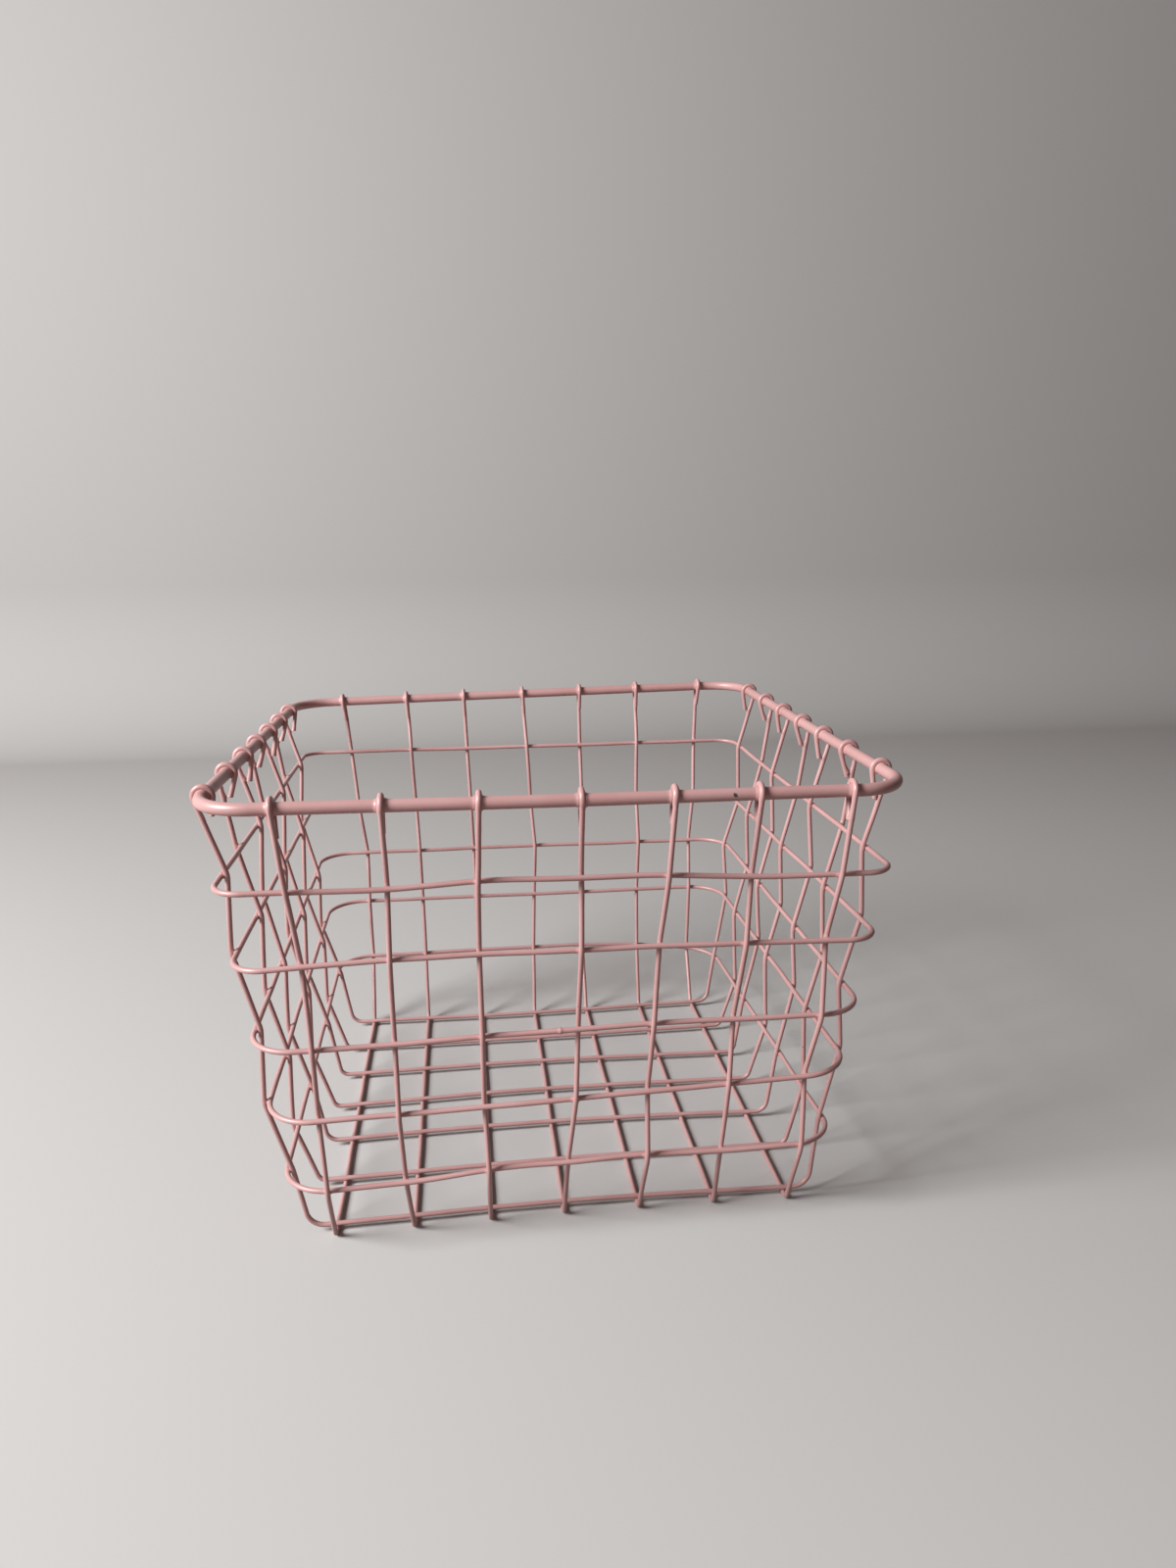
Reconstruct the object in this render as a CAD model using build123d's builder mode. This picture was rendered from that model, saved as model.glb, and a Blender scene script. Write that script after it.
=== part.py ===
from build123d import *
import math
import os

# A wire locker basket, open at the top and narrower at the floor.
# A thick round bar makes the rim, five closed hoops go round the walls, and two sets of
# seven U-shaped wires are woven through the hoops and hooked over the rim.
# The origin is at the middle of the floor's underside: X to the right, Y to the back, Z up.

# Stock, as coated
rim_bar = 5.6
hoop_wire = 2.5
basket_wire = 2.4
coat_gap = 0.15

# Outline of the basket, between centre lines: at the rim, at the lowest hoop and at the floor
rim_width = 300.0
rim_depth = 300.0
rim_height = 219.5
waist_width = 260.5
waist_depth = 265.0
floor_width = 244.0
floor_depth = 228.0

# Bends
rim_corner_radius = 24.0
hoop_corner_radii = (13.0, 15.0, 20.0, 22.0, 22.0)
crimp_radius = 14.0
lengthwise_bend_radius = 5.0
crosswise_bend_radii = (9.0, 5.0, 7.0, 4.5, 5.0, 4.5, 7.0)
bow_radius = 1500.0
rise_radius = 300.0
hook_turn = 205
tail_length = 12.0

# Heights of the hoops, from the top one down, as shares of the rim's height
hoop_height_shares = (0.835, 0.677, 0.51, 0.355, 0.162)
middle_hoop = 2

# How far the corners of the rim and of each hoop stand off their level, as shares of the warp:
# front left, front right, back right and back left
warp = 7.0
rim_warp_shares = (0.1, -0.2, 0.3, -0.4)
hoop_warp_shares = (
    (0.07, -0.48, -0.05, 0.05),
    (-0.07, -0.19, -0.35, 0.05),
    (-0.46, -0.16, 0.2, 0.35),
    (-0.8, 0.2, 0.2, 0.35),
    (-0.1, 0.82, -0.37, 0.86),
)

# Where the front and the back of a hoop bend up or down between its corners, as shares of half its
# width, and how far they stand off their straight line there, left to right, as shares of the warp
bend_shares = (-0.52, -0.24, 0.27, 0.6)
straight_shares = (0.0, 0.0, 0.0, 0.0)
front_rise_shares = (
    (0.0, 0.33, 0.35, -0.05),
    (0.36, 0.4, 0.35, 0.25),
    (0.02, 0.2, 0.24, 0.12),
    straight_shares,
    (0.03, 0.47, 0.45, 0.08),
)
back_rise_shares = (
    straight_shares,
    straight_shares,
    straight_shares,
    straight_shares,
    (0.33, 0.53, 0.83, 0.71),
)

# Places of the lengthwise wires, left to right, as shares of the basket's half width there.
# The foot shares say how far out each wire turns up into the wall, of the floor's half depth
front_rim_shares = (-0.8, -0.5, -0.23, 0.04, 0.315, 0.54, 0.825)
front_middle_shares = (-0.8, -0.545, -0.265, 0.04, 0.285, 0.55, 0.835)
front_floor_shares = (-0.9, -0.6, -0.29, 0.0, 0.3, 0.61, 0.915)
front_foot_shares = (1.02, 1.01, 1.0, 1.0, 1.0, 1.01, 1.02)
back_rim_shares = (-0.8, -0.52, -0.265, 0.0, 0.26, 0.52, 0.81)
back_middle_shares = (-0.79, -0.53, -0.265, 0.04, 0.28, 0.565, 0.83)
back_floor_shares = (-0.89, -0.59, -0.29, 0.01, 0.305, 0.61, 0.915)
back_foot_shares = (1.0, 1.0, 1.0, 1.0, 1.0, 1.0, 1.0)

# Places of the crosswise wires, front to back, as shares of the basket's half depth there,
# and how far out they turn up into the wall, of the floor's half width
left_rim_shares = (-0.82, -0.505, -0.24, 0.0, 0.245, 0.49, 0.74)
left_middle_shares = (-0.84, -0.54, -0.325, -0.015, 0.18, 0.47, 0.665)
left_floor_shares = (-0.98, -0.65, -0.325, -0.01, 0.32, 0.63, 0.965)
left_foot_shares = (0.998, 1.0, 1.0, 1.0, 1.0, 1.0, 1.0)
right_rim_shares = (-0.75, -0.47, -0.22, 0.02, 0.265, 0.515, 0.79)
right_middle_shares = (-0.785, -0.5, -0.255, 0.03, 0.265, 0.57, 0.875)
right_floor_shares = (-0.98, -0.64, -0.345, -0.005, 0.295, 0.625, 0.965)
right_foot_shares = (1.015, 1.01, 1.0, 1.0, 1.0, 1.0, 1.0)

# How far each front wire sways to the right at the rim, at the hoops from the top one down and at
# the floor, as shares of the sway
sway = 2.0
front_sway_shares = (
    (1.2, 1.1, 0.9, 0.3, -0.15, 0.45, 0.25),
    (0.3, 0.4, 0.25, 0.0, -0.2, -0.15, 0.4),
    (-0.35, -0.7, -0.55, -0.15, -0.4, -0.05, -0.2),
    (0.5, 0.6, 0.5, 0.2, 0.1, -0.25, 0.0),
    (-0.65, -0.25, -0.2, -0.2, -0.4, 0.0, 0.1),
    (0.7, 1.0, 0.85, 0.2, -0.6, -0.6, -0.15),
    (-0.55, -0.4, -0.65, 0.2, -1.1, -0.75, -0.25),
)
steady = (0.0, 0.0, 0.0, 0.0, 0.0, 0.0, 0.0)

# Lengths of the tails that hang from the hooks, as shares of the tail length
lengthwise_tail_shares = (1.0, 1.0, 0.95, 1.0, 0.95, 1.0, 1.0)
left_tail_shares = (0.7, 0.9, 1.0, 1.0, 1.1, 0.9, 0.95)
right_tail_shares = (1.15, 1.1, 1.0, 1.0, 1.0, 0.95, 1.0)

# How far the crosswise wires bow to the back in the middle of the floor, as shares of its half depth
floor_bow_shares = (0.035, 0.02, 0.045, 0.035, 0.025, -0.012, -0.025)

# What follows from those sizes
waist_height = rim_height * hoop_height_shares[-1]
middle_height = rim_height * hoop_height_shares[middle_hoop]
lengthwise_level = basket_wire / 2
crosswise_level = lengthwise_level + basket_wire + coat_gap
hook_radius = (rim_bar + basket_wire) / 2 + coat_gap
weave_reach = (hoop_wire + basket_wire) / 2 + coat_gap

os.makedirs("parts", exist_ok=True)


def half_size(rim_size, waist_size, height):
    """Half the basket's size, between centre lines of the walls, at a height."""
    rise = (height - waist_height) / (rim_height - waist_height)
    return (waist_size + (rim_size - waist_size) * rise) / 2


def bent_run(start, end, rise_shares):
    """The corners of a ring at the ends of its front or back, and the bends between them."""
    if not any(rise_shares):
        return [start, end]
    middle, half = (start + end) / 2, (end - start) / 2
    lifts = [Vector(0, 0, warp * share) for share in rise_shares]
    return [start, *(middle + half * share + lift for share, lift in zip(bend_shares, lifts)), end]


def ring_shape(level, corner_radius, warp_shares, front_lift_shares, back_lift_shares):
    """The rim or a hoop: the points of its front, back, left and right, before they are rounded,
    each under the numbers of the corners that it runs between, and the radius of the corners."""
    x = half_size(rim_width, waist_width, level)
    y = half_size(rim_depth, waist_depth, level)
    flat = [(-x, -y), (x, -y), (x, y), (-x, y)]
    corners = [Vector(*spot, level + warp * share) for spot, share in zip(flat, warp_shares)]
    runs = {
        (0, 1): bent_run(corners[0], corners[1], front_lift_shares),
        (3, 2): bent_run(corners[3], corners[2], back_lift_shares),
        (0, 3): [corners[0], corners[3]],
        (1, 2): [corners[1], corners[2]],
    }
    return runs, corner_radius


def ring(shape, bar):
    """A closed ring of round bar, bent to a rectangle with round corners, in two halves that
    meet at the weld in the middle of the front and in the middle of the back."""
    runs, corner_radius = shape
    front_run, back_run = runs[0, 1], runs[3, 2]
    front_half, back_half = len(front_run) // 2, len(back_run) // 2
    weld = (front_run[front_half - 1] + front_run[front_half]) / 2
    across = (back_run[back_half - 1] + back_run[back_half]) / 2
    halves = (
        (front_run[front_half:], back_run[back_half:]),
        (front_run[:front_half][::-1], back_run[:back_half][::-1]),
    )
    with BuildPart() as bent:
        for front_points, back_points in halves:
            points = [weld, *front_points, *back_points[::-1], across]
            front_radii = [rise_radius] * (len(front_points) - 1) + [corner_radius]
            back_radii = [corner_radius] + [rise_radius] * (len(back_points) - 1)
            with BuildLine():
                path = FilletPolyline(*points, radius=front_radii + back_radii)
            with BuildSketch(Plane(path @ 0, z_dir=path % 0)):
                Circle(bar / 2)
            sweep(path=path)
    return bent.part


def ring_spot(shape, wall, place):
    """The point of a ring's centre line on one wall that lies at a place along that wall."""
    runs, corner_radius = shape
    outward, sideways, first, last = wall
    run = runs[first, last]
    beyond = [point for point in run[1:-1] if point.dot(sideways) < place]
    before, after = run[len(beyond)], run[len(beyond) + 1]
    start, end = before.dot(sideways), after.dot(sideways)
    spot = before + (after - before) * ((place - start) / (end - start))
    into_corner = abs(place) - (abs(run[-1].dot(sideways)) - corner_radius)
    if into_corner > 0:
        spot -= outward * (corner_radius - math.sqrt(corner_radius**2 - into_corner**2))
    return spot


def turned_out(corner, before, after, radius):
    """Move a corner out along its bisector, so that its bend passes where the corner was."""
    arms = [(before - corner).normalized(), (after - corner).normalized()]
    half_turn = math.radians(180 - arms[0].get_angle(arms[1])) / 2
    return corner - (arms[0] + arms[1]).normalized() * radius * (1 / math.cos(half_turn) - 1)


def wall_points(wall, places, level, parity, tail_share, sway_shares=steady):
    """Points of one wire on one wall: tail end, the hook's three points, then the corners
    of its route past the hoops and at the floor."""
    outward, sideways = wall[:2]
    rim_place, middle_place, floor_place, foot_out = places
    rim_sway, *hoop_sways, foot_sway = [sway * share for share in sway_shares]

    # Where the wire crosses the rim and each hoop, and its corner at the floor
    spots = [ring_spot(rim_shape, wall, rim_place + rim_sway)]
    for share, shape, hoop_sway in zip(hoop_height_shares, hoop_shapes, hoop_sways):
        height = rim_height * share
        if height > middle_height:
            part_way = (rim_height - height) / (rim_height - middle_height)
            place = rim_place + (middle_place - rim_place) * part_way
        else:
            part_way = (middle_height - height) / (middle_height - level)
            place = middle_place + (floor_place - middle_place) * part_way
        spots.append(ring_spot(shape, wall, place + hoop_sway))
    foot = outward * foot_out + sideways * (floor_place + foot_sway) + Vector(0, 0, level)

    # Past each hoop on its outer or its inner side, in turn
    touch = [spots[0] + outward * hook_radius]
    for hoop, (above, spot, below) in enumerate(zip(spots, spots[1:], spots[2:] + [foot])):
        run = (above - below).normalized()
        off_hoop = (outward - run * outward.dot(run)).normalized() * weave_reach
        touch.append(spot + off_hoop if hoop % 2 == parity else spot - off_hoop)
    touch.append(foot)
    route = [
        turned_out(corner, before, after, crimp_radius)
        for before, corner, after in zip(touch, touch[1:], touch[2:])
    ]

    # The hook, in the plane that the topmost run leans in
    rise = spots[0] - route[0]
    up = (rise - outward * rise.dot(outward)).normalized()
    hook = Plane(spots[0], x_dir=outward, z_dir=outward.cross(up))
    run_out, run_up = -rise.dot(outward), -rise.dot(up)
    bearing = math.atan2(run_up, run_out) + math.acos(hook_radius / math.hypot(run_out, run_up))
    leave = Vector(math.cos(bearing), math.sin(bearing)) * hook_radius
    turned = bearing + math.radians(hook_turn)
    enter = Vector(math.cos(turned), math.sin(turned)) * hook_radius
    tail = Vector(-math.sin(turned), math.cos(turned)) * tail_length * tail_share
    hook_points = [enter + tail, enter, Vector(0, hook_radius), leave]
    return [hook.from_local_coords(point) for point in hook_points] + route + [foot]


def basket_wire_part(down, up, floor_bend_radius, bow=0):
    """A U-shaped wire: down one wall, along the floor and up the wall across from it. A bow
    sets the middle of its run along the floor that far to the back."""
    corners = down[3:]
    radii = [crimp_radius] * len(down[4:-1]) + [floor_bend_radius]
    if bow:
        bowed = (down[-1] + up[-1]) / 2 + Vector(0, bow)
        corners.append(turned_out(bowed, down[-1], up[-1], bow_radius))
        radii.append(bow_radius)
    corners += reversed(up[3:])
    radii += [floor_bend_radius] + [crimp_radius] * len(up[4:-1])
    with BuildPart() as bent:
        with BuildLine() as route:
            Line(down[0], down[1])
            ThreePointArc(down[1], down[2], down[3])
            FilletPolyline(*corners, radius=radii)
            ThreePointArc(up[3], up[2], up[1])
            Line(up[1], up[0])
        path = route.wires()[0]
        with BuildSketch(Plane(path @ 0, z_dir=path % 0)):
            Circle(basket_wire / 2)
        sweep(path=path)
    return bent.part


def wire_places(shares, sizes, floor_reach):
    """Places of a wire on one wall, at the rim, at the middle hoop and at the floor, and how
    far out it turns up from the floor."""
    rim_share, middle_share, floor_share, foot_share = shares
    rim_size, waist_size, floor_size = sizes
    rim_place = rim_share * rim_size / 2
    middle_place = middle_share * half_size(rim_size, waist_size, middle_height)
    return (rim_place, middle_place, floor_share * floor_size / 2, foot_share * floor_reach / 2)


# The rim

rim_row = (rim_corner_radius, rim_warp_shares, straight_shares, straight_shares)
rim_shape = ring_shape(rim_height, *rim_row)
rim = ring(rim_shape, rim_bar)
rim.label = "rim"
export_step(rim, "parts/rim.step")

# The five hoops

hoop_rise_shares = (front_rise_shares, back_rise_shares)
hoop_rows = zip(hoop_height_shares, hoop_corner_radii, hoop_warp_shares, *hoop_rise_shares)
hoop_shapes = [ring_shape(rim_height * height_share, *row) for height_share, *row in hoop_rows]
for number, hoop_shape in enumerate(hoop_shapes, 1):
    hoop = ring(hoop_shape, hoop_wire)
    hoop.label = f"hoop_{number}"
    export_step(hoop, f"parts/{hoop.label}.step")

# The walls: outward, sideways, and the corners of the rings that each one runs between

front = (Vector(0, -1), Vector(1, 0), 0, 1)
back = (Vector(0, 1), Vector(1, 0), 3, 2)
left = (Vector(-1, 0), Vector(0, 1), 0, 3)
right = (Vector(1, 0), Vector(0, 1), 1, 2)

# The seven lengthwise wires, which carry the floor

width_sizes = (rim_width, waist_width, floor_width)
front_shares = zip(front_rim_shares, front_middle_shares, front_floor_shares, front_foot_shares)
back_shares = zip(back_rim_shares, back_middle_shares, back_floor_shares, back_foot_shares)
rows = zip(front_shares, back_shares, lengthwise_tail_shares, front_sway_shares)
for number, (front_share, back_share, tail_share, sways) in enumerate(rows, 1):
    parity = (number + 1) % 2
    front_places = wire_places(front_share, width_sizes, floor_depth)
    back_places = wire_places(back_share, width_sizes, floor_depth)
    down = wall_points(front, front_places, lengthwise_level, parity, tail_share, sways)
    up = wall_points(back, back_places, lengthwise_level, parity, tail_share)
    wire = basket_wire_part(down, up, lengthwise_bend_radius)
    wire.label = f"lengthwise_wire_{number}"
    export_step(wire, f"parts/{wire.label}.step")

# The seven crosswise wires, which lie on the lengthwise ones

depth_sizes = (rim_depth, waist_depth, floor_depth)
left_shares = zip(left_rim_shares, left_middle_shares, left_floor_shares, left_foot_shares)
right_shares = zip(right_rim_shares, right_middle_shares, right_floor_shares, right_foot_shares)
tails = zip(left_tail_shares, right_tail_shares)
rows = zip(left_shares, right_shares, tails, crosswise_bend_radii, floor_bow_shares)
for number, (left_share, right_share, tail_shares, bend_radius, bow_share) in enumerate(rows, 1):
    parity = number % 2
    left_places = wire_places(left_share, depth_sizes, floor_width)
    right_places = wire_places(right_share, depth_sizes, floor_width)
    down = wall_points(left, left_places, crosswise_level, parity, tail_shares[0])
    up = wall_points(right, right_places, crosswise_level, parity, tail_shares[1])
    wire = basket_wire_part(down, up, bend_radius, bow_share * floor_depth / 2)
    wire.label = f"crosswise_wire_{number}"
    export_step(wire, f"parts/{wire.label}.step")
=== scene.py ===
import math

import bmesh
import bpy
import numpy as np
from mathutils import Matrix, Vector, kdtree, noise


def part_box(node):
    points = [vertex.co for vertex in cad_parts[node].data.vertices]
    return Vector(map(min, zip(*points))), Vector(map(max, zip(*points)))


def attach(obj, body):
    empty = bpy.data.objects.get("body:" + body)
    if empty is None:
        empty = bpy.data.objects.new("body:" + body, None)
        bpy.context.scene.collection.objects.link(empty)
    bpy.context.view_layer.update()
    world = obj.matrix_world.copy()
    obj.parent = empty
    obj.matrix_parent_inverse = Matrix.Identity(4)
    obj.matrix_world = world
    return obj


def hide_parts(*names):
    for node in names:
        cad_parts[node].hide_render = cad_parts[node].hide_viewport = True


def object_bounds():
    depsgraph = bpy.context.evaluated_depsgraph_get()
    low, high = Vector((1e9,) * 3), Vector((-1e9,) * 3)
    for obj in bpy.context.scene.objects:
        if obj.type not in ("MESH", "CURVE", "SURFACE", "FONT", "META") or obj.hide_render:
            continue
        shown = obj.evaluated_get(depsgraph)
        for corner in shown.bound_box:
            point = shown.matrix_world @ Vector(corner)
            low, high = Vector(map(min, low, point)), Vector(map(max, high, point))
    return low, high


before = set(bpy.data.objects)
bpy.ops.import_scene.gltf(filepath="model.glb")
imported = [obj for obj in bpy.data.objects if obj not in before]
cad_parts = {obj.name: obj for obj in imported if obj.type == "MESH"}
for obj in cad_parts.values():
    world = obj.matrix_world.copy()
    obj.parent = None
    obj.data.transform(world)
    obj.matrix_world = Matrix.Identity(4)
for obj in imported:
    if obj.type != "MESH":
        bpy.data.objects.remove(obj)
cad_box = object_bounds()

# The rim
# One round bar of mild steel, bent to a square with round corners and welded shut. It is powder
# coated together with all the wires, so the coat runs over it and into every hook that grips it.

mm = 0.001
rim_bar = 5.6 * mm
hoop_wire = 2.5 * mm
basket_wire = 2.4 * mm

# How the middle lines are found and stepped along
fine_step = 0.5 * mm
long_step = 3 * mm
long_enough = 0.999 * long_step
same_place = 0.3 * mm
cell_size = same_place / 3
fewest_corners = 60
place_digits = 7
straight_cosine = 0.9999
rim_sides = 40
wire_sides = 20

# How far the coat reaches across a gap where it pools, and where along a wire its tail and the
# top of its leg lie
coat_pool = 1.5 * mm
rim_pool = 2.0 * mm
pool_change = 0.6
pool_patch = 9 * mm
pool_height = 1 / 4
pool_rounds = 4
tail_pool = 3.2 * mm
tail_reach = 11 * mm
leg_start = 19 * mm
leg_end = 40 * mm

# Where a cut end is rounded, as shares of its rounding, and how hand-bent wire wanders
edge_insets = (1.0, 0.6, 0.3, 0.1)
edge_room = 1.05
wave_height = 0.35 * mm
wave_length = 38 * mm
wave_fade = 20 * mm
wave_seed = 3
hook_depth = 12 * mm


def is_ring(name):
    return name == "rim" or name.startswith("hoop")


def stock_size(name):
    """How thick the bar or wire of a piece is over its coat."""
    if name == "rim":
        return rim_bar
    return hoop_wire if is_ring(name) else basket_wire


def cross_sections(name):
    """The middle of each cross-section of a CAD bar or wire, the way the bar runs there and the
    sections beside it. A corner's normal points straight away from the middle of its section."""
    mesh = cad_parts[name].data
    normals = [corner.vector.copy() for corner in mesh.corner_normals]
    middles = []
    cells = {}
    for corner in mesh.loops:
        outside = mesh.vertices[corner.vertex_index].co
        middle = outside - normals[corner.index] * (stock_size(name) / 2)
        middles.append(middle)
        cell = tuple(round(value / cell_size) for value in middle)
        cells.setdefault(cell, []).append(corner.index)
    groups = []
    for corners in sorted(cells.values(), key=len, reverse=True):
        near = [g for g in groups if (middles[g[0]] - middles[corners[0]]).length < same_place]
        if near:
            near[0].extend(corners)
        else:
            groups.append(list(corners))
    sections = []
    section_of = {}
    for corners in groups:
        if len(corners) < fewest_corners:
            continue
        section_of.update({corner: len(sections) for corner in corners})
        sections.append({"corners": corners, "beside": set(), "number": len(sections)})
    for triangle in mesh.polygons:
        met = {section_of[corner] for corner in triangle.loop_indices if corner in section_of}
        for number in met:
            sections[number]["beside"] |= met - {number}
    for section in sections:
        places = [mesh.vertices[mesh.loops[c].vertex_index].co for c in section["corners"]]
        spots = {tuple(round(value, place_digits) for value in place) for place in places}
        spots = np.array(sorted(spots))
        section["middle"] = Vector(spots.mean(axis=0))
        spread = spots - spots.mean(axis=0)
        section["along"] = Vector(np.linalg.eigh(spread.T @ spread)[1][:, 0])
    return sections


def middle_line(name):
    """Points close together on the middle line of a bar or wire, each with the way the line runs.
    Between two sections of the solid the line is an arc or straight, so it follows both ends."""
    sections = cross_sections(name)
    if is_ring(name):
        order = sorted(sections, key=lambda s: math.atan2(s["middle"].y, s["middle"].x))
        order.append(order[0])
    else:
        ends = [s for s in sections if len(s["beside"]) == 1]
        order = [min(ends, key=lambda s: s["middle"].x + s["middle"].y)]
        passed = {order[0]["number"]}
        while order[-1]["beside"] - passed:
            number = min(order[-1]["beside"] - passed)
            passed.add(number)
            order.append(sections[number])
    line = []
    for here, there in zip(order, order[1:]):
        chord = there["middle"] - here["middle"]
        start, end = [s["along"] * (1 if s["along"].dot(chord) > 0 else -1) for s in (here, there)]
        steps = max(1, round(chord.length / fine_step))
        pull = chord.length / math.cos(start.angle(end) / 4) ** 2
        for step in range(steps):
            part = step / steps
            point = (here["middle"] * (1 + 2 * part) + start * pull * part) * (1 - part) ** 2
            point += (there["middle"] * (3 - 2 * part) - end * pull * (1 - part)) * part ** 2
            along = start.lerp(end, part).normalized()
            line.append((point, along))
    if not is_ring(name):
        line.append((order[-1]["middle"].copy(), end))
    return line


def waved(line):
    """The line as bent by hand: it wanders a little, together with whatever it touches there. The
    rim and the hooks on it stay put, and nothing moves down into the floor."""
    rim_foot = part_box("rim")[0][2] - hook_depth / 2
    wandered = []
    for point, along in line:
        wave = noise.noise_vector(point / wave_length) * wave_height
        wave.z *= min(1, max(0, point.z / wave_fade))
        wave *= min(1, max(0, (rim_foot - point.z) / hook_depth))
        wandered.append((point + wave, along))
    return wandered


noise.seed_set(wave_seed)
lines = {name: waved(middle_line(name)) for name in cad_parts}


def crossing_finder(name):
    """What the coat of a bar or wire may run into: a tree of the middle lines of all the others."""
    held = [(point, along, other) for other in lines if other != name
            for point, along in lines[other]]
    tree = kdtree.KDTree(len(held))
    for number, (point, along, other) in enumerate(held):
        tree.insert(point, number)
    tree.balance()
    return name, tree, held


def hook_parts(name):
    """For both ends of a hooked wire, its tail and the top of its leg, each with what faces it."""
    if is_ring(name):
        return []
    parts = []
    for line in (lines[name], lines[name][::-1]):
        reach = 0
        tail, leg = [], []
        for (before, along), (point, along) in zip(line, line[1:]):
            reach += (point - before).length
            if reach < tail_reach:
                tail.append(point)
            elif leg_start < reach < leg_end:
                leg.append(point)
        parts += [(tail, leg), (leg, tail)]
    return parts


def gaps_beside(place, finder, facing):
    """How far a place is from the surface of the nearest other bar or wire, and from the other side
    of its own hook, each with how wide the coat pools there."""
    name, tree, held = finder
    point, number, distance = tree.find(place)
    point, along, other = held[number]
    away = place - point
    gap = (away - along * away.dot(along)).length - stock_size(other) / 2
    gaps = [(gap, rim_pool if "rim" in (name, other) else coat_pool)]
    if facing:
        nearest = min((place - spot).length for spot in facing)
        gaps.append((nearest - stock_size(name) / 2, tail_pool))
    return gaps


def kept_places(name, finder, weld):
    """The places on a middle line that its tube needs: close together in bends, at crossings and
    near a weld, and far apart where it runs straight. Each has the way the line runs, whether
    anything is near, and what part of its own hook faces it."""
    parts = hook_parts(name)
    line = lines[name]
    ring = is_ring(name)
    kept = []
    since = long_step
    for number, (point, along) in enumerate(line):
        before = line[number - 1][1] if number or ring else along
        since += (point - line[number - 1][0]).length if number else 0
        bend = before.dot(along) < straight_cosine
        facing = [spot for part, other in parts if point in part for spot in other]
        reaches = [gap - pool for gap, pool in gaps_beside(point, finder, facing)]
        near = min(reaches) < stock_size(name) / 2
        near = near or weld is not None and (weld - point).length < weld_reach
        last = number == len(line) - 1 and not ring
        if since >= long_enough or near or last or bend:
            kept.append((point, along, near, facing))
            since = 0
    return kept


def rounded_ends(kept, radius, end_round):
    """The places with a few more at both ends, and how wide the tube is at each. The coat rounds
    the edges of a cut end slightly."""
    widths = [1.0] * len(kept)
    if not end_round:
        return kept, widths
    for turn in range(2):
        point, *about = kept[-1]
        outward = (point - kept[-2][0]).normalized()
        while len(kept) > 2 and (kept[-1][0] - point).length < end_round * edge_room:
            kept.pop()
            widths.pop()
        for inset in edge_insets:
            kept.append((point - outward * (inset * end_round), *about))
            full = math.sqrt(1 - (1 - inset) ** 2)
            widths.append(1 - end_round / radius * (1 - full))
        kept.append((point, *about))
        widths.append(1 - end_round / radius)
        kept.reverse()
        widths.reverse()
    return kept, widths


def round_tube(name, sides, end_round, kept):
    """A plain tube through places on the middle line of a bar or wire, and those places with the
    ones of its rounded ends. The tube's vertices come place by place."""
    radius = stock_size(name) / 2
    ring = is_ring(name)
    kept, widths = rounded_ends(kept, radius, end_round)
    curve = bpy.data.curves.new(name + "_line", "CURVE")
    curve.dimensions = "3D"
    curve.bevel_depth = radius
    curve.bevel_resolution = sides // 4 - 1
    curve.use_fill_caps = not ring
    spline = curve.splines.new("POLY")
    spline.points.add(len(kept) - 1)
    for spot, (point, *about), width in zip(spline.points, kept, widths):
        spot.co = (*point, 1)
        spot.radius = width
    spline.use_cyclic_u = ring
    holder = bpy.data.objects.new(name + "_line", curve)
    mesh = bpy.data.meshes.new_from_object(holder)
    bpy.data.objects.remove(holder)
    bpy.data.curves.remove(curve)
    return mesh, kept


def coated_tube(name, sides, end_round=0, weld=None):
    """A smooth tube along a bar or wire's middle line, its coat pooled wherever it meets another.
    A weld is a raised bead round it."""
    finder = crossing_finder(name)
    mesh, kept = round_tube(name, sides, end_round, kept_places(name, finder, weld))
    around = len(mesh.vertices) // len(kept)
    pooled = mesh.attributes.new("pooled", "FLOAT", "POINT")
    for number, (point, along, near, facing) in enumerate(kept):
        if not near:
            continue
        for vertex in mesh.vertices[number * around:(number + 1) * around]:
            base = vertex.co.copy()
            away = (base - point).normalized()
            change = 1 + pool_change * noise.noise(base / pool_patch)
            rise = 0.0
            for attempt in range(pool_rounds):
                reached = []
                for gap, pool in gaps_beside(base + away * rise, finder, facing):
                    pool *= change
                    share = max(pool - abs(rise - gap), 0) / pool
                    reached.append((share ** 2 * pool * pool_height, share))
                rise, share = max(reached)
            if weld is not None:
                beside_weld = (base - weld).dot(along) / weld_width
                rise += weld_height * math.exp(-beside_weld ** 2)
            vertex.co = base + away * rise
            pooled.data[vertex.index].value = share
    # the outermost places keep the thickness that they have in the solid
    for vertex in mesh.vertices:
        vertex.co = [min(max(spot, low), high) for spot, low, high in zip(vertex.co, *cad_box)]
    return mesh


coat_colour = (0.625, 0.362, 0.352, 1)
coat_deep = (0.575, 0.312, 0.30, 1)
# darker colour where the coat pools at crossings: partly a deeper coat, partly painted shade in the
# crevices between the wires
pooled_coat_and_crevice_shade = (0.60, 0.33, 0.32, 1)
bare_steel = (0.06, 0.045, 0.04, 1)
chip_place = Vector((71.2, -152.7, 218.8)) * mm
chip_radius = 1.5 * mm
chip_edge = (1.3 * chip_radius, 1.15 * chip_radius)

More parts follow.
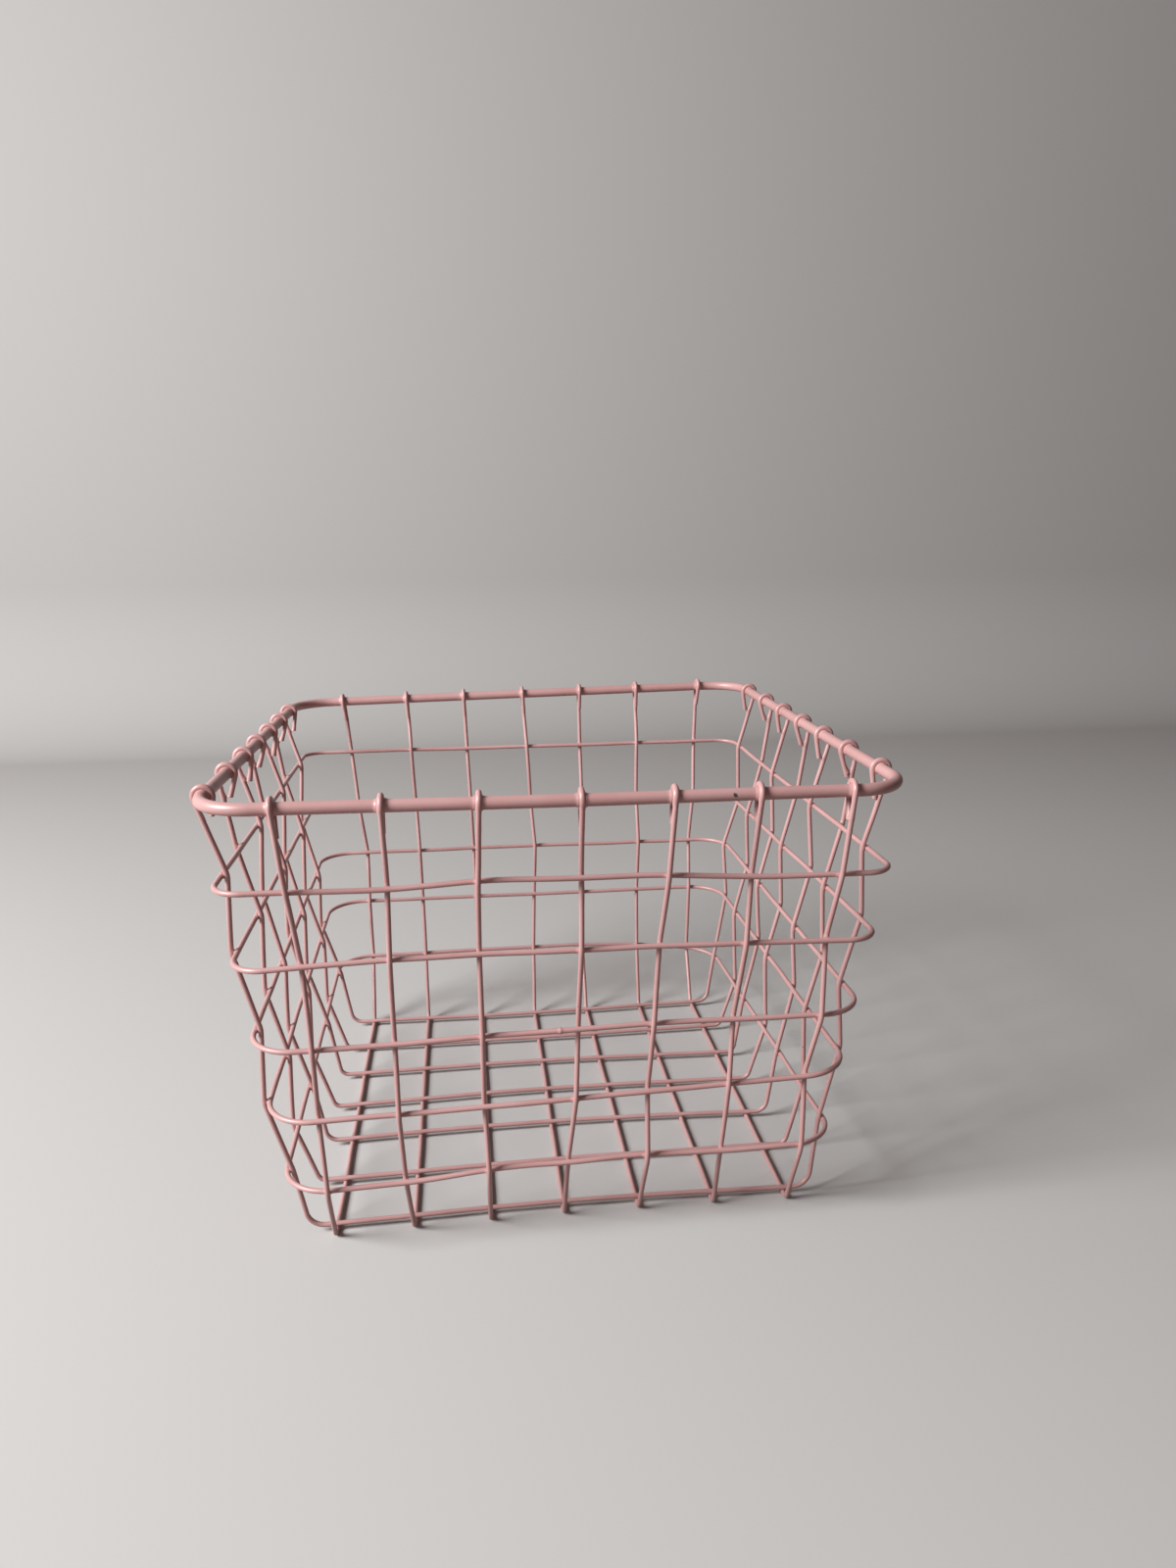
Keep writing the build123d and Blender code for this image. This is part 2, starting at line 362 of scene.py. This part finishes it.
# How fine each pattern in the coat is, in waves or cells per metre, and how strongly it shows. Nibs
# and specks also have the share of the cells that hold one and its size in its cell
chip_raggedness = 1400
tone_patches = 35
tone_detail = 3
tone_range = (0.32, 0.62)
crevice_shade_share = 0.6
gloss_patches = 55
gloss_range = (0.3, 0.7)
roughness_range = (0.36, 0.5)
bare_roughness = 0.3
peel = 900
nib_pattern = (150, 0.3, 0.07)
nib_height = 1.5
speck_pattern = (190, 0.02, 0.08)
bare_depth = 2
relief = 0.09 * mm
relief_strength = 0.3
shine = 0.65
gloss_layer = 0.22
gloss_layer_roughness = 0.3


def powder_coat():
    """Satin pink powder coat: a fine peel, slow changes of tone, a few nibs of dust under it and
    specks knocked out of it, a darker tone where it pools in the crevices at crossings (partly a
    deeper coat, partly painted shade), and the one chip on the rim."""
    material = bpy.data.materials.new("pink_powder_coat")
    material.use_nodes = True
    nodes = material.node_tree.nodes
    wire = material.node_tree.links.new
    shader = nodes["Principled BSDF"]
    place = nodes.new("ShaderNodeTexCoord").outputs["Object"]

    def grain(scale, detail=2):
        texture = nodes.new("ShaderNodeTexNoise")
        texture.inputs["Scale"].default_value = scale
        texture.inputs["Detail"].default_value = detail
        wire(place, texture.inputs["Vector"])
        return texture.outputs["Fac"]

    def ramp(value, old_range, new_range=(0, 1)):
        change = nodes.new("ShaderNodeMapRange")
        change.inputs["From Min"].default_value = old_range[0]
        change.inputs["From Max"].default_value = old_range[1]
        change.inputs["To Min"].default_value = new_range[0]
        change.inputs["To Max"].default_value = new_range[1]
        wire(value, change.inputs["Value"])
        return change.outputs["Result"]

    def sums(operation, first, second):
        step = nodes.new("ShaderNodeMath")
        step.operation = operation
        for value, socket in zip((first, second), step.inputs):
            if isinstance(value, (int, float)):
                socket.default_value = value
            else:
                wire(value, socket)
        return step.outputs["Value"]

    def blend(amount, first, second):
        mix = nodes.new("ShaderNodeMix")
        mix.data_type = "RGBA"
        wire(amount, mix.inputs["Factor"])
        for colour, socket in ((first, mix.inputs[6]), (second, mix.inputs[7])):
            if isinstance(colour, tuple):
                socket.default_value = colour
            else:
                wire(colour, socket)
        return mix.outputs[2]

    def scattered(scale, share, size):
        """Small round spots in a share of the cells of a fine pattern."""
        cells = nodes.new("ShaderNodeTexVoronoi")
        cells.inputs["Scale"].default_value = scale
        wire(place, cells.inputs["Vector"])
        split = nodes.new("ShaderNodeSeparateColor")
        wire(cells.outputs["Color"], split.inputs["Color"])
        chosen = sums("LESS_THAN", split.outputs["Red"], share)
        spot = ramp(cells.outputs["Distance"], (size, size / 2))
        return sums("MULTIPLY", chosen, spot)

    # the chip: a ragged spot at its place on the rim
    distance = nodes.new("ShaderNodeVectorMath")
    distance.operation = "DISTANCE"
    wire(place, distance.inputs[0])
    distance.inputs[1].default_value = chip_place
    ragged = sums("MULTIPLY", grain(chip_raggedness), chip_radius)
    chip = ramp(sums("ADD", distance.outputs["Value"], ragged), chip_edge)
    bare = sums("MAXIMUM", chip, scattered(*speck_pattern))

    pooled = nodes.new("ShaderNodeAttribute")
    pooled.attribute_name = "pooled"
    tone = blend(ramp(grain(tone_patches, tone_detail), tone_range), coat_deep, coat_colour)
    # the pooled places are mixed darker: painted shade in the crevices at crossings, partly a
    # deeper coat
    tone = blend(sums("MULTIPLY", pooled.outputs["Fac"], crevice_shade_share), tone, pooled_coat_and_crevice_shade)
    tone = blend(bare, tone, bare_steel)
    wire(tone, shader.inputs["Base Color"])
    roughness = ramp(grain(gloss_patches), gloss_range, roughness_range)
    roughness = sums("ADD", roughness, sums("MULTIPLY", bare, bare_roughness))
    wire(roughness, shader.inputs["Roughness"])
    nibs = sums("MULTIPLY", scattered(*nib_pattern), nib_height)
    height = sums("ADD", grain(peel), nibs)
    height = sums("SUBTRACT", height, sums("MULTIPLY", bare, bare_depth))
    bump = nodes.new("ShaderNodeBump")
    bump.inputs["Strength"].default_value = relief_strength
    bump.inputs["Distance"].default_value = relief
    wire(height, bump.inputs["Height"])
    wire(bump.outputs["Normal"], shader.inputs["Normal"])
    shader.inputs["Specular IOR Level"].default_value = shine
    shader.inputs["Coat Weight"].default_value = gloss_layer
    shader.inputs["Coat Roughness"].default_value = gloss_layer_roughness
    return material


pink_coat = powder_coat()


def stand_in(name, mesh, material):
    """The finished piece that shows in place of its plain CAD solid."""
    for face in mesh.polygons:
        face.use_smooth = True
    piece = bpy.data.objects.new("coated_" + name, mesh)
    bpy.context.scene.collection.objects.link(piece)
    mesh.materials.clear()
    mesh.materials.append(material)
    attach(piece, "root")
    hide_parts(name)


stand_in("rim", coated_tube("rim", rim_sides), pink_coat)

# The hoops
# Five hoops of thinner round wire, each bent to a square with round corners and welded shut. The
# wires of the walls are woven in and out of them, and the coat pools at every crossing.

weld_place = Vector((-2.6, -140.5, 111.3)) * mm
weld_height = 0.34 * mm
weld_width = 0.7 * mm
weld_reach = 3 * mm

for name in sorted(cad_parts):
    if name.startswith("hoop"):
        weld = weld_place if name == "hoop_3" else None
        stand_in(name, coated_tube(name, wire_sides, weld=weld), pink_coat)

# The basket wires
# Seven wires from front to back and seven from left to right, cut to length, crimped where they
# pass the hoops, bent under the floor and hooked over the rim. The cut ends are coated too.

cut_edge = 0.3 * mm

for name in sorted(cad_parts):
    if "wise" in name:
        stand_in(name, coated_tube(name, wire_sides, cut_edge), pink_coat)

# The room
# A plain pale floor and a pale wall behind it, a large soft light high on the left and a weaker one
# in front, and the camera where the photograph was taken from.

floor_width = 6
floor_depth = 5
wall_distance = 1.3
wall_height = 3
sweep_radius = 0.25
sweep_steps = 24
seen_paint = (0.60, 0.595, 0.585, 1)
dim_paint = (0.14, 0.085, 0.07, 1)
paint_roughness = 0.85
paint_shine = 0.2
basket_middle = (0, 0, 0.1)
shade_colour = (1.0, 0.80, 0.76, 1)
shade_strength = 0.10


def pale_paint():
    """Plain matt paint, pale where it is seen and less bright where it only lights the basket."""
    material = bpy.data.materials.new("pale_paint")
    material.use_nodes = True
    nodes = material.node_tree.nodes
    wire = material.node_tree.links.new
    shader = nodes["Principled BSDF"]
    ray = nodes.new("ShaderNodeLightPath")
    seen = ray.outputs["Is Camera Ray"]
    for kind in ("Is Glossy Ray", "Is Transmission Ray"):
        either = nodes.new("ShaderNodeMath")
        either.operation = "MAXIMUM"
        wire(seen, either.inputs[0])
        wire(ray.outputs[kind], either.inputs[1])
        seen = either.outputs["Value"]
    tone = nodes.new("ShaderNodeMix")
    tone.data_type = "RGBA"
    tone.inputs["A"].default_value = dim_paint
    tone.inputs["B"].default_value = seen_paint
    wire(seen, tone.inputs["Factor"])
    wire(tone.outputs["Result"], shader.inputs["Base Color"])
    shader.inputs["Roughness"].default_value = paint_roughness
    shader.inputs["Specular IOR Level"].default_value = paint_shine
    return material


bm = bmesh.new()
floor_back = wall_distance - sweep_radius
flat = Matrix.Diagonal((floor_width / 2, (floor_back + floor_depth / 2) / 2, 1, 1))
flat.translation = (0, (floor_back - floor_depth / 2) / 2, 0)
bmesh.ops.create_grid(bm, x_segments=1, y_segments=1, size=1, matrix=flat)
back = [e for e in bm.edges if all(v.co.y > 0 for v in e.verts)]
ends = back[0].verts[:]
turned = bmesh.ops.spin(bm, geom=ends + back, cent=(0, floor_back, sweep_radius),
                        axis=(1, 0, 0), angle=math.radians(90), steps=sweep_steps)
last = [e for e in turned["geom_last"] if isinstance(e, bmesh.types.BMEdge)]
grown = bmesh.ops.extrude_edge_only(bm, edges=last)
verts = [v for v in grown["geom"] if isinstance(v, bmesh.types.BMVert)]
bmesh.ops.translate(bm, verts=verts, vec=(0, 0, wall_height))
bmesh.ops.recalc_face_normals(bm, faces=bm.faces)
mesh = bpy.data.meshes.new("floor_and_wall")
bm.to_mesh(mesh)
bm.free()
for face in mesh.polygons:
    face.use_smooth = True
mesh.materials.append(pale_paint())
room = bpy.data.objects.new("floor_and_wall", mesh)
bpy.context.scene.collection.objects.link(room)


def soft_light(name, size, power, place):
    """A large square studio light that faces the basket."""
    lamp = bpy.data.lights.new(name, "AREA")
    lamp.size = size
    lamp.energy = power
    holder = bpy.data.objects.new(name, lamp)
    holder.location = place
    toward = Vector(basket_middle) - Vector(place)
    holder.rotation_euler = toward.to_track_quat("-Z", "Y").to_euler()
    bpy.context.scene.collection.objects.link(holder)


soft_light("window_light", size=0.9, power=76, place=(-1.75, -0.7, 1.3))
soft_light("front_light", size=1.4, power=1.5, place=(-0.2, -2.0, 0.9))
world = bpy.data.worlds.new("studio")
bpy.context.scene.world = world
world.use_nodes = True
shade = world.node_tree.nodes["Background"]
shade.inputs["Color"].default_value = shade_colour
shade.inputs["Strength"].default_value = shade_strength

view_place = Vector((-39.4, -574.3, 326.0)) * mm
view_right = math.radians(6.61)
view_down = math.radians(13.26)
view_roll = math.radians(-0.61)
focal_length = 1090 / 1600
lens = bpy.data.cameras.new("camera")
lens.sensor_width = 36
lens.lens = focal_length * lens.sensor_width
lens.clip_start = 0.01
camera = bpy.data.objects.new("camera", lens)
camera.location = view_place
turn = Matrix.Rotation(-view_right, 3, "Z")
tilt = Matrix.Rotation(math.radians(90) - view_down, 3, "X")
roll = Matrix.Rotation(view_roll, 3, "Z")
camera.rotation_euler = (turn @ tilt @ roll).to_euler()
bpy.context.scene.collection.objects.link(camera)
bpy.context.scene.camera = camera
bpy.context.scene.view_settings.view_transform = "Standard"
